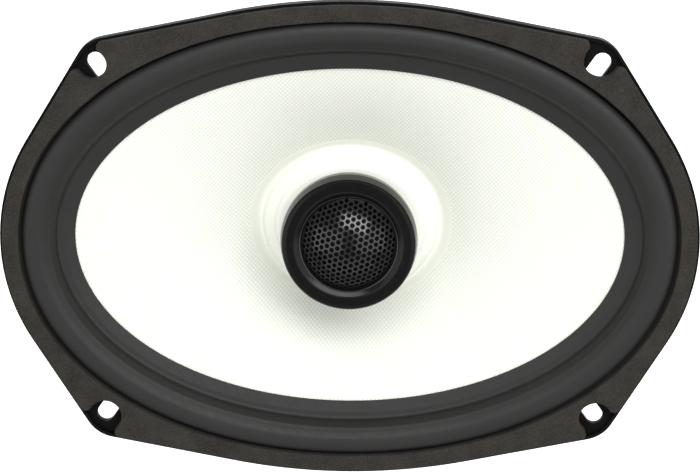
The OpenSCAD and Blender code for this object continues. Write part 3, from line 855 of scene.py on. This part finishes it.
def build_surround():
    """The rubber half roll, with its inner flap on the cone and its outer landing on the flange.

    Its profile is in (distance outwards from the middle of the roll, z).
    """
    rubber_t = 0.5
    flap_edge_t = 0.25
    landing_z = 3.0
    landing_under_z = 2.52
    roll_h = 5
    bead_at = math.radians(133)
    bead_h = 0.22
    bead_spread = 0.07
    steps = 360
    roll = []
    for step in range(41):
        angle = math.pi * (1 - step / 40)
        bead = bead_h * math.exp(-((angle - bead_at) / bead_spread) ** 2)
        side = math.cos(angle)
        if side > 0:
            reach_out = 1.17 * (ROLL_HALF + bead) * side ** 0.86
        else:
            reach_out = -(ROLL_HALF + bead) * (-side) ** 1.15
        rise = math.sin(angle) ** (0.9 if side > 0 else 1.1)
        roll.append((reach_out, 1.6 + 1.4 * side + (roll_h + bead) * rise, 0))
    flap = [(-11.3, -1.72, 0), (-7.6, -0.3, 1.2), (-6.1, 0.02, 1.2)]
    landing = [(6.35, landing_z, 0.25), (10.0, landing_z, 0)]
    open_top = softened(flap + roll[1:-1] + landing + [(0, -60, 0)])[:-1]
    top = [Vector(point) for point in open_top]
    count = len(top)
    under = []
    for index, point in enumerate(top):
        along = (top[min(index + 1, count - 1)] - top[max(index - 1, 0)]).normalized()
        thickness = rubber_t if index else flap_edge_t
        under.append(point + thickness * Vector((along.y, -along.x)))
    under[-1].y = landing_under_z
    rings = []
    weights = []
    for d, z in [*top, *under[::-1]]:
        power = 2 + 0.025 * max(0, min(2, 1 + d / ROLL_HALF))
        tuck = 0.45 * clamped((-d - 7.1) / 4.2)
        rings.append(oval(ROLL_MID[0] + d, ROLL_MID[1] + d * ROLL_B_RATE - tuck, z, power, steps))
        weights += [eased((ROLL_HALF - d) / (2 * ROLL_HALF))] * steps
    piece = mesh_piece("rubber_surround", skin(rings), "surround_rubber", replaces=["surround"], sharp=50)
    bend_over(piece)


def bend_over(piece):
    """Bakes a ring-shaped piece's placement into its mesh; it writes no blend weights and does not bend the
    piece.
    """
    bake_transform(piece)


def build_dust_ring():
    """The smooth white collar between the cone and the tweeter pod."""
    path = [(14, 14, -18.15), (18, 16.2, -17.9), (22, 18.2, -17.8), (24.4, 20.3, -18.0), (25.6, 21.3, -18.6),
            (26.3, 22.0, -19.3), (27.2, 23.0, -19.8), (28.2, 24.1, -20.4), (29.1, 25.1, -21.4),
            (29.9, 26.0, -22.4), (30.7, 26.4, -23.6)]
    path += [cone_ring(0.195, 0.55), cone_ring(0.22, 0.5), cone_ring(0.2458, 0.3)]
    top = smooth_route(path, 0.5)
    under = [place - Vector((0, 0, 0.45)) for place in top[:-1]] + [Vector(cone_ring(0.2458, 0.08))]
    rings = [oval(*place, steps=216) for place in [*top, *under[::-1]]]
    mesh_piece("dust_collar", skin(rings), "dust_ring_film", "cone_body", ["dust_ring"])


def build_spider():
    """The corrugated cloth disc that centres the voice coil."""
    wave_in = 20.5
    wave_out = 46.9
    waves = 5.5
    cloth_t = 0.45
    disc_in = 16.25
    disc_out = 54
    bend_in = 18
    bend_out = 50
    steps = 144

    def height(radius):
        if not wave_in < radius < wave_out:
            return SHELF_Z + 0.12
        share = (radius - wave_in) / (wave_out - wave_in)
        return SHELF_Z + 0.12 + 1.3 * math.sin(TURN * waves * share)

    radii = [disc_in + (disc_out - disc_in) * step / 110 for step in range(111)]
    profile = [(radius, height(radius) + cloth_t) for radius in radii]
    profile += [(radius, height(radius)) for radius in reversed(radii)]
    piece = mesh_piece("spider_disc", lathe(profile, steps), "spider_cloth", replaces=["spider"], sharp=60)
    weights = []
    for radius, _ in profile:
        weights += [eased((bend_out - radius) / (bend_out - bend_in))] * steps
    bend_over(piece)


# ---- tweeter pod ----


def build_pod():
    """The pod's two shells: the housing behind and the bezel in front.

    Each profile is a list of (radius, z, corner radius).
    """
    housing = softened([
        (4.05, -13.5, 0.2), (8.6, -13.5, 0.4), (12, -12.9, 3), (16.5, -11.5, 4), (19.8, -8.8, 4),
        (21.8, -5.2, 4), (22.9, -1.4, 3), (23.1, -0.02, 0.1), (20.4, -0.02, 0.1), (20.4, -1.5, 0.1),
        (18.6, -1.6, 0.3), (17.8, -8.5, 0.4), (15.1, -8.5, 0), (4.05, -8.5, 0)], 6)
    mesh_piece("pod_shell", lathe(housing, 160), "pod_plastic", "frame_body", ["tweeter_housing"])
    bezel = softened([
        (20.5, 0.05, 0.1), (23.1, 0.05, 0.15), (23.2, 3, 2), (23.0, 4.5, 3), (22.56, 7.95, 0.35),
        (22.1, 8.52, 0.2), (20.9, 8.65, 2), (18.5, 8.5, 0.4), (18.05, 8.36, 0.2), (16.62, 7.68, 0.15),
        (16.66, 7.33, 0.05), (17.75, 7.33, 0), (17.75, 5.4, 0.1), (20.0, 4.6, 0.2), (20.5, 3, 0.2)], 6)
    mesh_piece("pod_bezel", lathe(bezel, 200), "pod_plastic", "frame_body", ["tweeter_bezel"])


def build_grille():
    """The perforated dome: a hexagonal pattern of punched holes, pressed into a spherical cap."""
    pitch = 2.12
    hole_r = 0.83
    row_tilt = math.radians(20)
    sheet_t = 0.42
    steps = 144
    ball_r = (GRILLE_R ** 2 + GRILLE_H ** 2) / (2 * GRILLE_H)
    ball_z = GRILLE_RIM_Z + GRILLE_H - ball_r
    rim_angle = math.asin(GRILLE_R / ball_r)
    flat_r = ball_r * rim_angle
    rim = [
        (flat_r * math.cos(TURN * step / steps), flat_r * math.sin(TURN * step / steps), 0)
        for step in range(steps)]
    holes = []
    rows = int(flat_r / pitch) + 4
    for row in range(-rows, rows + 1):
        for column in range(-rows, rows + 1):
            spot = pitch * Vector((column + row % 2 / 2, row * math.sqrt(0.75)))
            spot.rotate(Matrix.Rotation(row_tilt, 2))
            if spot.length < flat_r - hole_r - 0.15:
                holes.append([(point.x, point.y, 0) for point in arc(spot, hole_r, 0, TURN, 14)[:-1]])
    flat, faces = filled(rim, None, holes=holes)

    def pressed(point, depth):
        """A flat point pressed onto the ball."""
        flat_reach = math.hypot(point[0], point[1])
        angle = flat_reach / ball_r
        out = (ball_r - depth) * math.sin(angle) / max(flat_reach, 1e-9)
        return point[0] * out, point[1] * out, ball_z + (ball_r - depth) * math.cos(angle)

    used = {}
    for face in faces:
        for a, b in zip(face, face[1:] + face[:1]):
            used[(a, b)] = True
    borders = [(a, b) for a, b in used if (b, a) not in used]
    count = len(flat)
    points = [pressed(point, 0) for point in flat] + [pressed(point, sheet_t) for point in flat]
    solid = [list(face) for face in faces] + [[count + index for index in reversed(face)] for face in faces]
    solid += [[b, a, count + a, count + b] for a, b in borders]
    rim_band = lathe([(15.7, 6.85), (17.7, 6.85), (17.7, 7.28), (16.35, 7.3), (15.9, 7.0)], steps)
    mesh_piece("perforated_dome", joined([(points, solid), rim_band]), "grille_paint", "frame_body",
               ["tweeter_grille"], sharp=40)


def build_tweeter_inside():
    """The film dome and its pleated edge, which show faintly through the grille."""
    base_z = 1.62
    rise = 4.0
    film_t = 0.2
    steps = 96
    ball_r = (DOME_R ** 2 + rise ** 2) / (2 * rise)
    half = math.asin(DOME_R / ball_r)
    top = []
    for step in range(25):
        angle = half * step / 24
        top.append((max(ball_r * math.sin(angle), 0.01), base_z + rise - ball_r + ball_r * math.cos(angle)))
    film = top + [(max(radius - 0.1, 0.01), z - film_t) for radius, z in reversed(top)]
    mesh_piece("film_dome", lathe(film, steps), "dome_film", "tweeter_diaphragm", ["tweeter_dome"], weld=True)
    edge_in = 12.4
    edge_out = 15.3
    foot_r = 17.4
    pleats = []
    for step in range(31):
        share = step / 30
        radius = edge_in + (foot_r - edge_in) * share
        wave = 0
        if radius < edge_out:
            wave = math.sin(math.pi * (radius - edge_in) / (edge_out - edge_in))
        pleats.append((radius, base_z + 0.25 + 0.65 * wave))
    edge = pleats + [(radius, z - film_t) for radius, z in reversed(pleats)]
    piece = mesh_piece("film_edge", lathe(edge, steps), "dome_film", replaces=["tweeter_suspension"])
    weights = []
    for radius, _ in edge:
        weights += [clamped((edge_out - radius) / (edge_out - edge_in))] * steps
    bend_over(piece)


# ---- leads ----


def lead_route(side):
    """A tinsel lead's route from its eyelet to its pad on the cone."""
    return [(side * 9.5, -67.5, -42.6), (side * 9.5, -67, -40), (side * 9.3, -63, -36.5),
            (side * 8.8, -56, -33.8), (side * 8, -47, -32.6), (side * 7, -38, -32),
            (side * 6, -31, -31.2), (side * 5.4, -26.6, -29.6), (side * 5.3, -25.4, -28.3)]


def build_leads():
    """Tinsel leads from the terminal board to the back of the cone, each of four twisted strands."""
    for side, name in ((-1, "positive"), (1, "negative")):
        route = smooth_route(lead_route(side), 0.45)
        piece = mesh_piece("twisted_lead_" + name, twisted(route, 4, 0.24, 3.2), "tinsel_braid",
                           replaces=["tinsel_lead_" + name], sharp=60)
        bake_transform(piece)


def lane(x):
    """The last stretch of a tweeter wire: down the boot, across the rear and up the post to the tweeter."""
    return [(x, -46.9, -64), (x, -46.9, -78), (x, -46.6, -81.2), (x, -45.2, -82.75), (x, -41, -82.75),
            (x, -20, -82.75), (x, -5, -82.75), (x, -2.4, -82.75), (x, -0.4, -81.6), (x, 0, -79), (x, 0, -45),
            (x, 0, -14), (x, 0, -10.6), (x, -1, -9.35), (x, -5, -9.35), (x, -13, -9.4), (x, -16.2, -9.3),
            (x, -16.4, -6), (x, -16.4, -0.1)]


def build_tweeter_wires():
    """The tweeter's two insulated wires, from the capacitor and from the negative terminal."""
    starts = {
        "positive": (0.8, [(12.4, -56.5, -51.9), (12.1, -55.4, -56.5), (8, -52, -58.6), (2.6, -48.8, -59.2),
                           (0.8, -47, -60.4)]),
        "negative": (-0.8, [(8.4, -66.4, -47.9), (6, -66.2, -50.5), (3.4, -63.8, -55.2), (0.6, -58, -58.2),
                            (-0.6, -52, -59.3), (-0.8, -47.4, -60)])}
    for name, (x, start) in starts.items():
        slot = "red_insulation" if name == "positive" else "black_insulation"
        mesh_piece("hook_up_wire_" + name, swept(smooth_route(start + lane(x), 0.9), 0.66, 12), slot,
                   "frame_body", ["tweeter_wire_" + name], sharp=60)


# ---- what the CAD already shapes well ----

# The width of the bevel on each node's hard edges
BEVELS = {
    "basket": 0.25, "magnet_boot": 0.3, "ferrite_magnet": 0.4, "top_plate": 0.3, "yoke": 0.3,
    "tweeter_post": 0.15, "post_nut": 0.2, "post_washer": 0.15, "terminal_board": 0.2,
    "terminal_positive": 0.12, "terminal_negative": 0.12, "terminal_eyelets": 0.1,
    "terminal_board_rivets": 0.15, "motor_rivets": 0.3, "lead_pads": 0.4, "crossover_capacitor": 0.35,
    "tweeter_pot": 0.2, "tweeter_mounting_ring": 0.15,
}


def finish_cad_nodes():
    """Every CAD node that still shows gets its slot's material, and each one listed in BEVELS a small bevel
    on its hard edges.
    """
    slots = {part["node"]: part["material_slot"] for part in frame["record"]["subparts"]}
    for name, node in nodes.items():
        if node.hide_render:
            continue
        node.data.materials.clear()
        node.data.materials.append(MATERIALS[slots[name]])
        if name in BEVELS:
            bevel = node.modifiers.new("edge", "BEVEL")
            bevel.width = BEVELS[name] * MM
            bevel.segments = 2
            bevel.limit_method = "ANGLE"
            bevel.angle_limit = math.radians(40)
            bevel.harden_normals = False


add_camera()
add_world()
add_floor()
for light_name, light_setting in LIGHTS.items():
    add_light(light_name, *light_setting)
bpy.context.scene.view_settings.view_transform = "Standard"
build_gasket()
build_surround()
build_cone()
build_dust_ring()
build_spider()
build_pod()
build_grille()
build_tweeter_inside()
build_leads()
build_tweeter_wires()
finish_cad_nodes()
